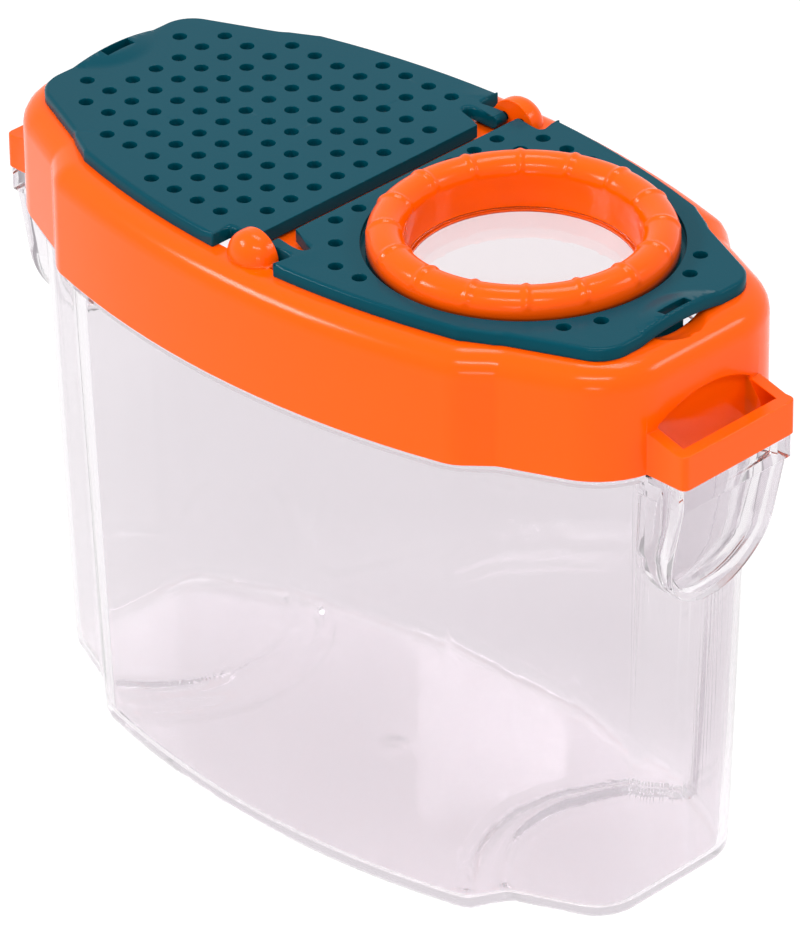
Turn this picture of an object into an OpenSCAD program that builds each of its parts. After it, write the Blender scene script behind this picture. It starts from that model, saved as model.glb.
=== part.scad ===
// Bug catcher jar: a clear jar with a push-on lid frame, two hinged flaps and a turning magnifier.
// Millimetres, +Z up. The origin is on the table under the middle of the jar; the lens flap is at +X.

/* [Lid plan] */
// Length of the lid over its two end faces
lid_len = 144.5; // [130:0.5:170]
// Width of the lid across its middle
lid_w = 79; // [74:1:90]
// Distance from the middle to the shoulder where the bowed side ends
shoulder_x = 46.8; // [42:0.2:48]
// How far the bowed side falls between the middle and the shoulder
side_bow = 6.5; // [4:0.1:8]
// Distance from the middle to the foot of the step behind the shoulder
step_x = 52.3; // [50:0.1:56]
// How far the foot of the step lies inside the shoulder
step_depth = 4.8; // [3:0.1:6.4]
// Width of the end face before its corners are rounded
end_w = 39; // [34:0.5:42]
// Radius of the shoulder in plan
shoulder_r = 8; // [8:0.5:9]
// Radius of the hollow at the foot of the step
step_r = 4; // [2:0.5:6]
// Radius of the four end corners in plan
corner_r = 15; // [11:0.5:16]

/* [Lid frame] */
// Height of the lid frame from the foot of its skirt to the ledge that the flaps lie on
skirt_h = 20.3; // [18:0.1:26]
// Thickness of the skirt
skirt_t = 2.2; // [1.8:0.1:2.6]
// Thickness of the frame's top
lid_top_t = 2.2; // [1.8:0.1:3]
// Radius of the rounded edge between the top and the skirt
lid_edge_r = 4.5; // [2:0.5:5]
// Distance in plan from the outside of the lid to the edge of its two windows
window_inset = 7; // [6.6:0.1:7.4]
// Width of the crossbar between the two windows
crossbar_w = 5.4; // [4:0.2:6]
// Thickness of the crossbar and of its pads
crossbar_t = 2.2; // [1.6:0.1:3]
// How far the crossbar lies below the ledge
crossbar_drop = 0.6; // [0.4:0.1:1]
// Width of the pads at the two ends of the crossbar
pad_w = 13; // [10:0.5:15]
// Length of each pad
pad_len = 9; // [7:0.5:10]
// Radius of the bowl under each finger tab
recess_r = 14; // [10:0.5:18]
// Depth of that bowl below the ledge
recess_depth = 1.6; // [1:0.1:1.8]

/* [Strap loops] */
// How far each strap loop reaches out from the end face
loop_reach = 7.9; // [6:0.1:12]
// Width of a strap loop across its arms
loop_w = 26.8; // [24:0.2:28]
// Thickness of the bar and of the arms
loop_bar = 2.4; // [2:0.1:3]
// Height of the bar
loop_h = 6.4; // [4:0.1:8]
// How much higher the arms stand at the end face than at the bar
loop_rise = 1.5; // [0.5:0.1:3]
// Radius of the loop's outer corners
loop_r = 1.2; // [0.6:0.1:2]
// Height of the arched hollow in the end face, at its middle
arch_h = 11.4; // [8:0.2:13]
// How far the arch falls from its middle to its ends
arch_fall = 3; // [1:0.1:4]
// Depth of the arched hollow
arch_depth = 1.2; // [0.6:0.1:1.4]

/* [Hinges] */
// Distance of each hinge axis from the middle of the lid
hinge_x = 2; // [1.8:0.1:2.4]
// Diameter of the hinge pins
pin_d = 1.5; // [1.2:0.1:1.6]
// Length of a pin inside its socket
pin_len = 3; // [2:0.1:4]
// Clearance around a pin, on the radius
pin_gap = 0.06; // [0.03:0.01:0.1]
// Distance from the side of the lid, at its middle, to the inner face of a hinge boss
boss_inset = 9.3; // [9:0.1:10.5]
// Radius of the round top of a hinge boss
boss_r = 4.8; // [4:0.1:5]
// Length of the straight part of a hinge boss
boss_len = 1.5; // [1:0.1:3]
// Length of the boss's domed end
boss_dome = 3.6; // [3:0.1:5]

/* [Flaps] */
// Thickness of the two flaps
flap_t = 2.4; // [2:0.1:2.6]
// Distance in plan from the outside of the lid to the bowed side and the end of a flap
flap_inset = 5.3; // [5:0.1:6]
// The same distance at the slanted edges beside the end
slant_inset = 4.2; // [3.6:0.1:5.2]
// Radius of a flap's end corners in plan
flap_end_r = 6.5; // [4:0.5:8]
// Width of the bevel around the top of a flap
flap_bevel = 0.6; // [0.2:0.1:0.8]
// Distance from the middle of the lid to a flap's straight hinge edge
flap_edge_x = 1.6; // [1.4:0.1:1.8]
// Distance from the middle of the lid to the notches that clear the bosses
notch_x = 7; // [6.5:0.1:8.5]
// Gap between a flap and the inner face of a boss
side_gap = 0.4; // [0.3:0.05:0.6]
// Width of the springy arm that carries one pin of each flap
arm_w = 2.6; // [2:0.1:3]
// Length of the slot that frees that arm
slot_len = 6; // [5:0.1:7]
// Width of the slot at its mouth
slot_w = 3.8; // [3:0.1:4.5]
// Width of the slot at its round end
slot_end_w = 1.8; // [1.4:0.1:2]
// Radius of the low dome that lifts the middle of a flap's end into a finger tab
lift_r = 45; // [35:1:60]
// Height of that dome above the flap
lift_h = 1.2; // [0.8:0.1:1.3]
// How far the middle of the dome lies beyond the flap's end
lift_reach = 3.4; // [2:0.1:5]
// Length of the slit over the catch
slit_len = 6.3; // [5:0.1:7]
// Width of that slit
slit_w = 1.8; // [1.4:0.1:2]
// Thickness of the catch leg under the slit's inner edge
catch_t = 1; // [0.8:0.1:1.2]
// Length of the catch leg below the flap
catch_len = 3.6; // [3.2:0.1:4.5]
// How far the catch's nose stands out from its leg
nose_reach = 0.6; // [0.3:0.1:0.7]
// Height of that nose
nose_h = 1; // [0.6:0.1:1.2]
// Clearance between the catch's nose and the window's edge
catch_gap = 0.25; // [0.2:0.05:0.4]

/* [Air holes] */
// Spacing of the air holes both ways
hole_pitch = 5.5; // [5:0.1:6.5]
// Diameter of the air holes
hole_d = 2.5; // [2:0.1:3]
// Distance from the vent flap's hinge edge to its first row of air holes
vent_start = 4.7; // [4.2:0.1:5.5]
// Distance from the lens flap's hinge edge to its first row of air holes
lens_start = 2.6; // [2.3:0.1:3.2]
// Least distance from the middle of an air hole to the edge of its flap
hole_margin = 3.3; // [3.1:0.1:3.6]
// Least distance from the middle of an air hole to the bezel's well or the finger tab
well_margin = 2.4; // [2:0.1:2.4]

/* [Magnifier] */
// Distance from the middle of the lid to the middle of the magnifier
lens_x = 31.4; // [31.4:0.1:31.8]
// Gap between the magnifier's well and the frame around it
window_gap = 0.34; // [0.2:0.02:1]
// Radius of the bezel's round section
bezel_tube_r = 3.2; // [2.6:0.1:3.4]
// Height of that circle above the lens flap
bezel_rise = 0.8; // [0.4:0.1:1.4]
// Number of grip ribs on the bezel
ribs = 16; // [8:1:24]
// Width of a grip rib
rib_w = 1.5; // [1:0.1:2.5]
// Where a rib begins on the bezel's round section, as an angle from outside over the top
rib_from = 11; // [2:3:44]
// Where it ends
rib_to = 154; // [94:3:163]
// Height of a grip rib
rib_h = 0.3; // [0.2:0.05:0.4]
// Gap around the bezel in its well
well_gap = 0.9; // [0.5:0.1:1]
// Depth of the well below the top of the flap
well_depth = 1.7; // [1.5:0.1:2.2]
// Thickness of the well's floor
well_floor_t = 1.6; // [1.2:0.1:2]
// Thickness of the well's wall
well_wall_t = 0.9; // [0.8:0.1:1]
// How far the bezel's neck, which turns in the well's floor, lies outside the middle of its round section
neck_step = 0.6; // [0.4:0.1:0.8]
// Clearance around the neck, on the radius
neck_gap = 0.08; // [0.04:0.01:0.1]
// Clearance above and below the well's floor
turn_gap = 0.2; // [0.15:0.05:0.3]
// How far the snap lip under the floor stands out from the neck
lip_reach = 0.5; // [0.3:0.1:0.8]
// Height of the snap lip
lip_h = 1.2; // [0.8:0.1:1.6]
// Length of the neck below the snap lip, where the lens sits
neck_len = 2; // [1:0.1:3]
// Clearance around the lens in the bore
lens_gap = 0.05; // [0.02:0.01:0.1]
// Thickness of the lens at its edge
lens_edge_t = 1.4; // [1:0.1:1.6]
// How far the upper face of the lens swells
lens_swell = 1.6; // [1:0.1:2.4]
// Width of the shelf under the lens
shelf_w = 0.8; // [0.6:0.1:1.2]
// Thickness of the shelf under the lens
shelf_t = 0.8; // [0.6:0.1:1.2]

/* [Jar] */
// Height of the jar's flange, on which the lid stands
jar_h = 92; // [70:1:120]
// Thickness of the jar's wall
jar_t = 1.8; // [1.4:0.1:1.9]
// Thickness of the jar's floor
floor_t = 2; // [1.6:0.1:3]
// Distance in plan from the outside of the lid to the jar's wall under the flange
wall_inset = 3; // [2.6:0.1:3.4]
// How much further in the wall is at the foot of the jar
wall_draft = 2.8; // [1.5:0.1:3]
// Radius of the edge around the foot
foot_r = 2.5; // [1:0.1:3]
// Distance in plan from the outside of the lid to the edge of the flange
flange_inset = 0.8; // [0.4:0.1:1.2]
// Thickness of the flange
flange_t = 1.8; // [1.4:0.1:2.4]
// Clearance between the jar's neck and the skirt
skirt_gap = 0.3; // [0.2:0.05:0.4]
// Clearance between the top of the neck and the frame
neck_top_gap = 0.5; // [0.3:0.1:1]
// Distance from the middle of the jar to the middle of each raised end floor
lobe_x = 60; // [58:0.5:62]
// Radius of a raised end floor
lobe_r = 24.5; // [20:0.5:26]
// Width of the slope around a raised end floor
lobe_slope = 6.5; // [4:0.5:8]
// Height of the raised end floors
lobe_rise = 2; // [1:0.1:2.4]
// Radius of the dimple in the middle of the floor
dimple_r = 3.4; // [2:0.1:5]
// Depth of that dimple
dimple_depth = 0.5; // [0.3:0.1:0.8]

/* [Jar ears] */
// How far an ear's rim stands out beyond the lid's end face
ear_reach = 7.3; // [6:0.1:7.6]
// Height of the ear's thick rim under the strap loop
ear_rim_h = 5; // [3:0.1:7]
// Width of the ear's rim
ear_rim_w = 25.8; // [22:0.2:26]
// How far the ear's body lies inside its rim, all round
ear_step = 0.6; // [0.4:0.1:1]
// Height of an ear from its lowest point to the flange
ear_h = 28; // [25:0.5:32]
// How much less the ear stands out at its lowest point
ear_taper = 5; // [3:0.1:6]
// Thickness of an ear's wall
ear_t = 1.6; // [1.2:0.1:1.8]

/* [Hidden] */

// Overrun of a cut past the face that it opens
over = 0.5;
// Radii over and under which an arc takes other steps
wide_r = 50;
tiny_r = 2;
// Those steps
wide_step = 2;
tiny_step = 30;
// Least radius that an inset corner may shrink to
least_r = 0.05;
// Radius that breaks the small corners of a flap's outline
flap_corner_r = 0.35;
// How far a knuckle lies inside its flap, on the radius and at its ends
knuckle_step = 0.05;
// Clearance between the jar's wall and the pocket of an ear
ear_wall_gap = 0.3;
// Smooth round shapes
$fn = 64;

// Heights
z_ledge = jar_h + skirt_h;
z_top = z_ledge - lid_top_t;
z_flap = z_ledge + flap_t;
z_axis = z_ledge + flap_t / 2;
z_neck = z_top - neck_top_gap;
z_bezel = z_flap + bezel_rise;
z_well = z_flap - well_depth;
z_under = z_well - well_floor_t;
z_lip = z_under - turn_gap - lip_h;
z_foot = z_lip - neck_len;
z_shelf = z_foot + shelf_t;

// Places in plan
lid_end = lid_len / 2;
boss_y = lid_w / 2 - boss_inset;
flap_end = lid_end - flap_inset;
window_end = lid_end - window_inset;
arm_y = boss_y - side_gap;
slot_y = arm_y - arm_w;
lift_x = flap_end + lift_reach;
lift_edge_r = sqrt(pow(lift_r, 2) - pow(lift_r - lift_h, 2));
nose_x = window_end - catch_gap;
catch_x = nose_x - nose_reach;

// Unit vector and the direction a quarter turn to the left of one
function unit(v) = v / norm(v);
function left(v) = [-v[1], v[0]];

// An arc is [centre x, centre y, radius, start angle, end angle, side]; side is 1 where it bulges
// outwards and -1 where it is hollow, so that an inset moves each point along its own radius.
function corner_arc(from, at, to, r) =
    let (v0 = unit(at - from), v1 = unit(to - at),
         turn = atan2(v0[0] * v1[1] - v0[1] * v1[0], v0 * v1),
         s = sign(turn),
         start = at - v0 * r * tan(abs(turn) / 2),
         c = start + left(v0) * s * r,
         a = atan2(start[1] - c[1], start[0] - c[0]))
    [c[0], c[1], r, a, a + turn, s];

// Points of a list of arcs, moved inwards by d; wide arcs take fine steps and tiny ones coarse steps
function arc_step(r) = r > wide_r ? wide_step : r < tiny_r ? tiny_step : 7.5;
function arc_points(arcs, d = 0) =
    [for (a = arcs)
        let (n = max(1, ceil(abs(a[4] - a[3]) / arc_step(a[2]))), r = max(a[2] - a[5] * d, least_r))
        for (i = [0:n])
            let (t = a[3] + (a[4] - a[3]) * i / n)
            [a[0] + r * cos(t), a[1] + r * sin(t)]];

function reversed(list) = [for (i = [len(list) - 1:-1:0]) list[i]];
function mirror_x(arcs) = reversed([for (a = arcs) [-a[0], a[1], a[2], 180 - a[4], 180 - a[3], a[5]]]);
function mirror_y(arcs) = reversed([for (a = arcs) [a[0], -a[1], a[2], -a[4], -a[3], a[5]]]);
function inset_arcs(arcs, d) = [for (a = arcs) [a[0], a[1], max(a[2] - a[5] * d, least_r), a[3], a[4], a[5]]];

// One quarter of the lid's plan, from its end face round to the middle of its bowed side
p_end = [lid_end, end_w / 2];
p_shoulder = [shoulder_x, lid_w / 2 - side_bow];
p_step = [step_x, p_shoulder[1] - step_depth];
side_r = (pow(shoulder_x, 2) + pow(side_bow, 2)) / (2 * side_bow);
side_c = [0, lid_w / 2 - side_r];
side_tangent = left(unit(p_shoulder - side_c));
shoulder_arc = corner_arc(p_step, p_shoulder, p_shoulder + side_tangent, shoulder_r);
shoulder_top = [shoulder_arc[0], shoulder_arc[1]]
    + shoulder_r * [cos(shoulder_arc[4]), sin(shoulder_arc[4])] - side_c;
// The side arc leaves out its two end points, which its neighbours already have
side_start = atan2(shoulder_top[1], shoulder_top[0]) + wide_step;
side_end = 90 - wide_step / 2;
quarter = [
    corner_arc([lid_end, 0], p_end, p_step, corner_r),
    corner_arc(p_end, p_step, p_shoulder, step_r),
    shoulder_arc,
    [side_c[0], side_c[1], side_r, side_start, side_end, 1]
];
half = concat(mirror_y(quarter), quarter);
lid_arcs = concat(quarter, mirror_x(quarter), mirror_x(mirror_y(quarter)), mirror_y(quarter));

// The magnifier is as large as the window and the crossbar leave room for
well_room = min(outline_distance([lens_x, 0], arc_points(lid_arcs, window_inset)), lens_x - crossbar_w / 2);
well_r = well_room - window_gap - well_wall_t;
bezel_out_r = well_r - well_gap;
bezel_r = bezel_out_r - bezel_tube_r;
bore_r = bezel_r - bezel_tube_r;
lens_r = bore_r - lens_gap;
neck_r = bezel_r + neck_step;

module plan(d) {
    polygon(arc_points(lid_arcs, d));
}

module plan_block(d, z0, z1) {
    translate([0, 0, z0]) linear_extrude(z1 - z0) plan(d);
}

// Distance from a point to a closed outline
function segment_distance(p, a, b) =
    let (t = max(0, min(1, (p - a) * (b - a) / max((b - a) * (b - a), least_r))))
    norm(p - a - (b - a) * t);
function outline_distance(p, outline) =
    min([for (i = [0:len(outline) - 1]) segment_distance(p, outline[i], outline[(i + 1) % len(outline)])]);

// Solid through a stack of [height, inset] rings of the lid's plan, closed by a fan at each end
module loft(rings) {
    n = len(arc_points(lid_arcs));
    last = len(rings) - 1;
    hub = n * (last + 1);
    points = [for (ring = rings) for (p = arc_points(lid_arcs, ring[1])) [p[0], p[1], ring[0]]];
    sides = [for (k = [0:last - 1]) for (i = [0:n - 1])
        let (j = (i + 1) % n)
        [k * n + i, (k + 1) * n + i, (k + 1) * n + j, k * n + j]];
    ends = [for (i = [0:n - 1])
        let (j = (i + 1) % n)
        each [[hub, i, j], [hub + 1, last * n + j, last * n + i]]];
    polyhedron(concat(points, [[0, 0, rings[0][0]], [0, 0, rings[last][0]]]), concat(sides, ends));
}

// Quarter-round profile as rings: from the side at z0 to the top, r higher and r further in
function round_up(z0, d, r, steps = 5) =
    [for (i = [0:steps]) [z0 + r * sin(90 * i / steps), d + r * (1 - cos(90 * i / steps))]];
function round_down(z0, d, r, steps = 4) =
    [for (i = [steps:-1:0]) [z0 + r * (1 - sin(90 * i / steps)), d + r * (1 - cos(90 * i / steps))]];

module both_ends() {
    children();
    mirror([1, 0, 0]) children();
}

module both_sides() {
    children();
    mirror([0, 1, 0]) children();
}

// Cylinder along +Y from y0 to y1
module y_rod(x, z, y0, y1, r) {
    translate([x, y0, z]) rotate([-90, 0, 0]) cylinder(h = y1 - y0, r = r);
}

module centred_box(x0, x1, w, z0, z1) {
    translate([x0, -w / 2, z0]) cube([x1 - x0, w, z1 - z0]);
}

// Lid frame
module window() {
    translate([0, 0, z_top - over]) linear_extrude(lid_top_t + 2 * over) difference() {
        plan(window_inset);
        both_sides() translate([-boss_r, boss_y]) square([2 * boss_r, lid_w]);
    }
}

module hinge_boss() {
    difference() {
        union() {
            translate([0, boss_y, z_ledge]) rotate([-90, 0, 0]) rotate_extrude() polygon(concat([[0, 0], [boss_r, 0]],
                [for (i = [0:8]) [boss_r * cos(90 * i / 8), boss_len + boss_dome * sin(90 * i / 8)]]));
            translate([-boss_r, boss_y, z_ledge - crossbar_drop - crossbar_t])
                cube([2 * boss_r, boss_len, crossbar_drop + crossbar_t]);
        }
        // The dome ends at the underside of the frame's top, clear of the jar's neck
        translate([-lid_w / 2, boss_y + over, z_top - lid_w]) cube([lid_w, lid_w, lid_w]);
        for (side = [-1, 1])
            y_rod(side * hinge_x, z_axis, boss_y - over, boss_y + pin_len + side_gap, pin_d / 2 + pin_gap);
    }
}

module crossbar() {
    z0 = z_ledge - crossbar_drop - crossbar_t;
    centred_box(-crossbar_w / 2, crossbar_w / 2, 2 * boss_y + 2 * over, z0, z0 + crossbar_t);
    both_sides() translate([-pad_w / 2, boss_y - pad_len, z0]) cube([pad_w, pad_len + over, crossbar_t]);
}

module strap_loop() {
    x1 = lid_end + loop_reach;
    y1 = loop_w / 2;
    root = skirt_t / 2;
    outer = [
        corner_arc([x1, -y1], [x1, y1], [0, y1], loop_r),
        [lid_end - root, y1 - least_r, least_r, 90, 180, 1],
        [lid_end - root, least_r - y1, least_r, 180, 270, 1],
        corner_arc([0, -y1], [x1, -y1], [x1, y1], loop_r)
    ];
    difference() {
        translate([0, 0, jar_h]) linear_extrude(loop_h + loop_rise) difference() {
            polygon(arc_points(outer));
            translate([lid_end, loop_bar - y1]) square([loop_reach - loop_bar, loop_w - 2 * loop_bar]);
            translate([0, loop_bar - y1]) square([lid_end + over, loop_w - 2 * loop_bar]);
        }
        // The arms fall from the end face to the bar
        translate([0, y1 + over, jar_h]) rotate([90, 0, 0]) linear_extrude(loop_w + 2 * over) polygon([
            [lid_end - skirt_t, loop_h + loop_rise],
            [lid_end, loop_h + loop_rise],
            [x1 - loop_bar, loop_h],
            [x1 + over, loop_h],
            [x1 + over, loop_h + loop_rise + over],
            [lid_end - skirt_t, loop_h + loop_rise + over]
        ]);
    }
}

// Arched hollow in the end face, between the arms of the loop
module arch_cut() {
    w = loop_w - 2 * loop_bar;
    r = (pow(w / 2, 2) + pow(arch_fall, 2)) / (2 * arch_fall);
    intersection() {
        centred_box(lid_end - arch_depth, lid_end + over, w, jar_h - over, jar_h + arch_h + over);
        translate([lid_end - arch_depth, 0, jar_h + arch_h - r]) rotate([0, 90, 0])
            cylinder(h = skirt_t, r = r, $fn = 128);
    }
}

module lid_frame() {
    color("darkorange") difference() {
        union() {
            difference() {
                loft(concat([[jar_h, 0]], round_up(z_ledge - lid_edge_r, 0, lid_edge_r)));
                plan_block(skirt_t, jar_h - over, z_top);
                window();
                both_ends() arch_cut();
            }
            crossbar();
            both_sides() hinge_boss();
            both_ends() strap_loop();
        }
        both_ends() translate([window_end - catch_t, 0, z_ledge + recess_r - recess_depth]) sphere(recess_r);
    }
}

// Flaps, both drawn at +X with the springy arm at -Y
function small_arc(x, y, a0, a1, s) = [x, y, flap_corner_r, a0, a1, s];

c = flap_corner_r;
flap_r = side_r - flap_inset;
horn_angle = acos((notch_x + c) / (flap_r - c));
// Where the line of the slanted edge meets the line of the flap's end
slant_out = left(unit(p_end - p_step));
flap_corner_y = p_end[1] - (slant_inset + slant_out[0] * (flap_end - lid_end)) / slant_out[1];
flap_step_arc = inset_arcs([quarter[1]], slant_inset)[0];
flap_step_start = [flap_step_arc[0], flap_step_arc[1]]
    + flap_step_arc[2] * [cos(flap_step_arc[3]), sin(flap_step_arc[3])];
flap_quarter = concat([
    corner_arc([flap_end, 0], [flap_end, flap_corner_y], flap_step_start, flap_end_r),
    flap_step_arc,
    inset_arcs([quarter[2]], flap_inset)[0]
], [
    [side_c[0], side_c[1], flap_r, quarter[3][3], horn_angle, 1],
    small_arc(notch_x + c, side_c[1] + (flap_r - c) * sin(horn_angle), horn_angle, 180, 1)
]);
slot_tip = [flap_edge_x + slot_len - slot_end_w / 2, -slot_y + slot_end_w / 2];
slot_mouth = [flap_edge_x, -slot_y + slot_w];
flap_arcs = concat(
    mirror_y(flap_quarter),
    flap_quarter,
    [
        small_arc(notch_x - c, arm_y + c, 0, -90, -1),
        small_arc(flap_edge_x + c, arm_y - c, 90, 180, 1),
        small_arc(flap_edge_x + c, slot_mouth[1] + c, 180, 270, 1),
        [slot_tip[0], slot_tip[1], slot_end_w / 2, 90, -90, -1],
        small_arc(flap_edge_x + c, -slot_y - c, 90, 180, 1),
        small_arc(flap_edge_x + c, c - arm_y, 180, 270, 1),
        small_arc(notch_x - c, -arm_y - c, 90, 0, -1)
    ]
);

module flap_blank() {
    translate([0, 0, z_ledge]) linear_extrude(flap_t) polygon(arc_points(flap_arcs));
}

// Ball whose top is the finger tab, or, one flap's thickness lower, the hollow under it
module lift_ball(top) {
    translate([lift_x, 0, top - lift_r]) sphere(lift_r, $fn = 128);
}

module finger_tab() {
    intersection() {
        translate([0, 0, z_axis]) linear_extrude(flap_t) polygon(arc_points(flap_arcs, flap_bevel));
        lift_ball(z_flap + lift_h);
    }
}

// Closed ring of triangular section that takes the bevel off the flap's upper edge
module flap_bevel_cut() {
    rings = [[z_flap + over, -over], [z_flap + over, flap_bevel + over], [z_flap - flap_bevel - over, -over]];
    outlines = [for (ring = rings) [for (p = arc_points(flap_arcs, ring[1])) [p[0], p[1], ring[0]]]];
    n = len(outlines[0]);
    polyhedron([for (o = outlines) each o], [for (k = [0:2]) for (i = [0:n - 1])
        let (j = (i + 1) % n, l = (k + 1) % 3)
        each [[k * n + i, l * n + i, l * n + j], [k * n + i, l * n + j, k * n + j]]]);
}

module knuckles() {
    inner = slot_y + knuckle_step;
    both_sides() {
        y_rod(hinge_x, z_axis, inner, arm_y - knuckle_step, flap_t / 2 - knuckle_step);
        y_rod(hinge_x, z_axis, inner, arm_y + pin_len, pin_d / 2);
    }
}

module catch() {
    foot = z_ledge - catch_len;
    translate([0, slit_len / 2, 0]) rotate([90, 0, 0]) linear_extrude(slit_len) polygon([
        [catch_x - catch_t, foot],
        [catch_x, foot],
        [nose_x, foot + nose_h / 2],
        [nose_x, foot + nose_h],
        [catch_x, foot + nose_h + nose_reach],
        [catch_x, z_ledge + flap_t / 2],
        [catch_x - catch_t, z_ledge + flap_t / 2]
    ]);
}

// Distance from a point to the flap's outline
flap_outline = arc_points(flap_arcs);
function edge_distance(p) = outline_distance(p, flap_outline);
function in_flap(p) =
    let (n = len(flap_outline))
    len([for (i = [0:n - 1])
        let (a = flap_outline[i], b = flap_outline[(i + 1) % n])
        if ((a[1] > p[1]) != (b[1] > p[1]) && p[0] < a[0] + (b[0] - a[0]) * (p[1] - a[1]) / (b[1] - a[1]))
            1]) % 2 == 1;

// Square grid of places on the flap that keep clear of the finger tab
function grid(first_x) =
    let (rows = floor(flap_end / hole_pitch), columns = floor(lid_w / 2 / hole_pitch))
    [for (i = [0:rows]) for (j = [-columns:columns])
        let (p = [first_x + i * hole_pitch, j * hole_pitch])
        if (in_flap(p) && norm(p - [lift_x, 0]) > lift_edge_r + well_margin) p];

module air_hole(p) {
    translate([p[0], p[1], z_ledge - over]) cylinder(h = flap_t + 2 * over, r = hole_d / 2, $fn = 32);
}

module flap_body() {
    difference() {
        union() {
            difference() {
                union() {
                    difference() {
                        flap_blank();
                        flap_bevel_cut();
                    }
                    finger_tab();
                }
                lift_ball(z_ledge + lift_h);
            }
            knuckles();
            catch();
        }
        translate([catch_x, -slit_len / 2, z_ledge - over]) cube([slit_w, slit_len, flap_t + lift_h + 2 * over]);
    }
}

module vent_flap() {
    color("darkslategray") rotate([0, 0, 180]) difference() {
        flap_body();
        for (p = grid(flap_edge_x + vent_start))
            if (edge_distance(p) > hole_margin) air_hole(p);
    }
}

module lens_flap() {
    color("darkslategray") union() {
        difference() {
            flap_body();
            translate([lens_x, 0, z_ledge - over])
                cylinder(h = flap_t + 2 * over, r = well_r + well_wall_t / 2, $fn = 128);
            lens_flap_holes();
        }
        translate([lens_x, 0, 0]) rotate_extrude($fn = 128) polygon([
            [neck_r + neck_gap, z_under],
            [well_r + well_wall_t, z_under],
            [well_r + well_wall_t, z_flap],
            [well_r, z_flap],
            [well_r, z_well],
            [neck_r + neck_gap, z_well]
        ]);
    }
}

module lens_flap_holes() {
    ring_hole_r = well_r + well_wall_t + (hole_d + well_wall_t) / 2;
    for (p = grid(flap_edge_x + lens_start)) {
        clear_of_well = norm(p - [lens_x, 0]) > well_r + well_margin;
        if (p[0] < lens_x && edge_distance(p) > lens_start - least_r && clear_of_well) air_hole(p);
    }
    both_sides() for (a = lens_hole_angles) air_hole([lens_x + ring_hole_r * cos(a), ring_hole_r * sin(a)]);
}
// Directions of the two air holes beyond the bezel, seen from its middle
lens_hole_angles = [21, 33.5];

// Magnifier
module bezel() {
    neck_top = z_well + turn_gap;
    color("orangered") translate([lens_x, 0, 0]) union() {
        rotate_extrude($fn = 128) polygon(concat(
            [
                [bore_r, z_shelf],
                [bore_r - shelf_w, z_shelf],
                [bore_r - shelf_w, z_foot],
                [neck_r, z_foot],
                [neck_r, z_lip],
                [neck_r + lip_reach, z_lip],
                [neck_r + lip_reach, z_lip + lip_h],
                [neck_r, z_lip + lip_h],
                [neck_r, neck_top],
                [bezel_out_r, neck_top]
            ],
            half_round(bezel_tube_r)));
        for (i = [0:ribs - 1])
            rotate([0, 0, 360 * i / ribs]) grip_rib();
    }
}

// Points over the top of the bezel's round section, from outside to inside
function half_round(r) =
    [for (a = [0:7.5:180]) [bezel_r + r * cos(a), z_bezel + r * sin(a)]];

// Rib across the bezel's round section, where it shows above the flap
module grip_rib() {
    a = rib_w / bezel_r * 180 / PI;
    rotate([0, 0, -a / 2]) rotate_extrude(angle = a, $fn = 128)
        polygon(concat(rib_arc(bezel_tube_r + rib_h), reversed(rib_arc(bezel_tube_r / 2))));
}

function rib_arc(r, steps = 9) =
    [for (i = [0:steps])
        let (a = rib_from + (rib_to - rib_from) * i / steps)
        [bezel_r + r * cos(a), z_bezel + r * sin(a)]];

module lens() {
    r = (pow(lens_r, 2) + pow(lens_swell, 2)) / (2 * lens_swell);
    color("lavender", 0.4) translate([lens_x, 0, z_shelf]) union() {
        cylinder(h = lens_edge_t, r = lens_r, $fn = 128);
        intersection() {
            translate([0, 0, lens_edge_t]) cylinder(h = lens_swell + over, r = lens_r, $fn = 128);
            translate([0, 0, lens_edge_t + lens_swell - r]) sphere(r, $fn = 256);
        }
    }
}

// Jar
neck_inset = skirt_t + skirt_gap;

under_flange = jar_h - flange_t;

// The shell is one lathe-like stack: up the outside, over the neck and down the inside to the floor
module jar_shell() {
    foot_inset = wall_inset + wall_draft;
    loft(concat(
        round_down(0, foot_inset, foot_r),
        [[under_flange, wall_inset], [under_flange, flange_inset], [jar_h, flange_inset],
         [jar_h, neck_inset], [z_neck, neck_inset], [z_neck, neck_inset + jar_t],
         [jar_h, neck_inset + jar_t], [under_flange, wall_inset + jar_t]],
        reversed(round_down(floor_t, foot_inset + jar_t, foot_r - jar_t / 2, 2))));
}

module lobe_cone(z0, z1) {
    function at(z) = lobe_r + lobe_slope * (lobe_rise - z) / lobe_rise;
    translate([lobe_x, 0, z0]) cylinder(h = z1 - z0, r1 = at(z0), r2 = at(z1), $fn = 128);
}

module end_floor() {
    intersection() {
        translate([0, 0, floor_t]) lobe_cone(-over, lobe_rise);
        plan_block(wall_inset + wall_draft + jar_t / 2, lobe_rise / 2, floor_t + lobe_rise + over);
    }
}

// Outer face of the jar's end wall at a height
function end_wall_x(z) = lid_end - wall_inset - wall_draft * (1 - z / under_flange);

// Tongue-shaped block of an ear, drawn in by d on every side, from the plane x0 low down to x0_top
module ear_block(d, root, z_roof) {
    w = ear_rim_w / 2 - ear_step - d;
    x1 = lid_end + ear_reach - ear_step - d;
    low = jar_h - ear_h + d;
    intersection() {
        union() {
            centred_box(lid_end - window_inset, x1, 2 * w, low + w, z_roof);
            translate([lid_end - window_inset, 0, low + w]) rotate([0, 90, 0])
                cylinder(h = x1 - lid_end + window_inset, r = w, $fn = 96);
        }
        translate([0, lid_w / 2, 0]) rotate([90, 0, 0]) linear_extrude(lid_w) polygon([
            [end_wall_x(low) + root, low - over],
            [x1 - ear_taper, low - over],
            [x1, jar_h - ear_rim_h],
            [x1, z_roof],
            [end_wall_x(z_roof) + root, z_roof]
        ]);
    }
}

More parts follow.
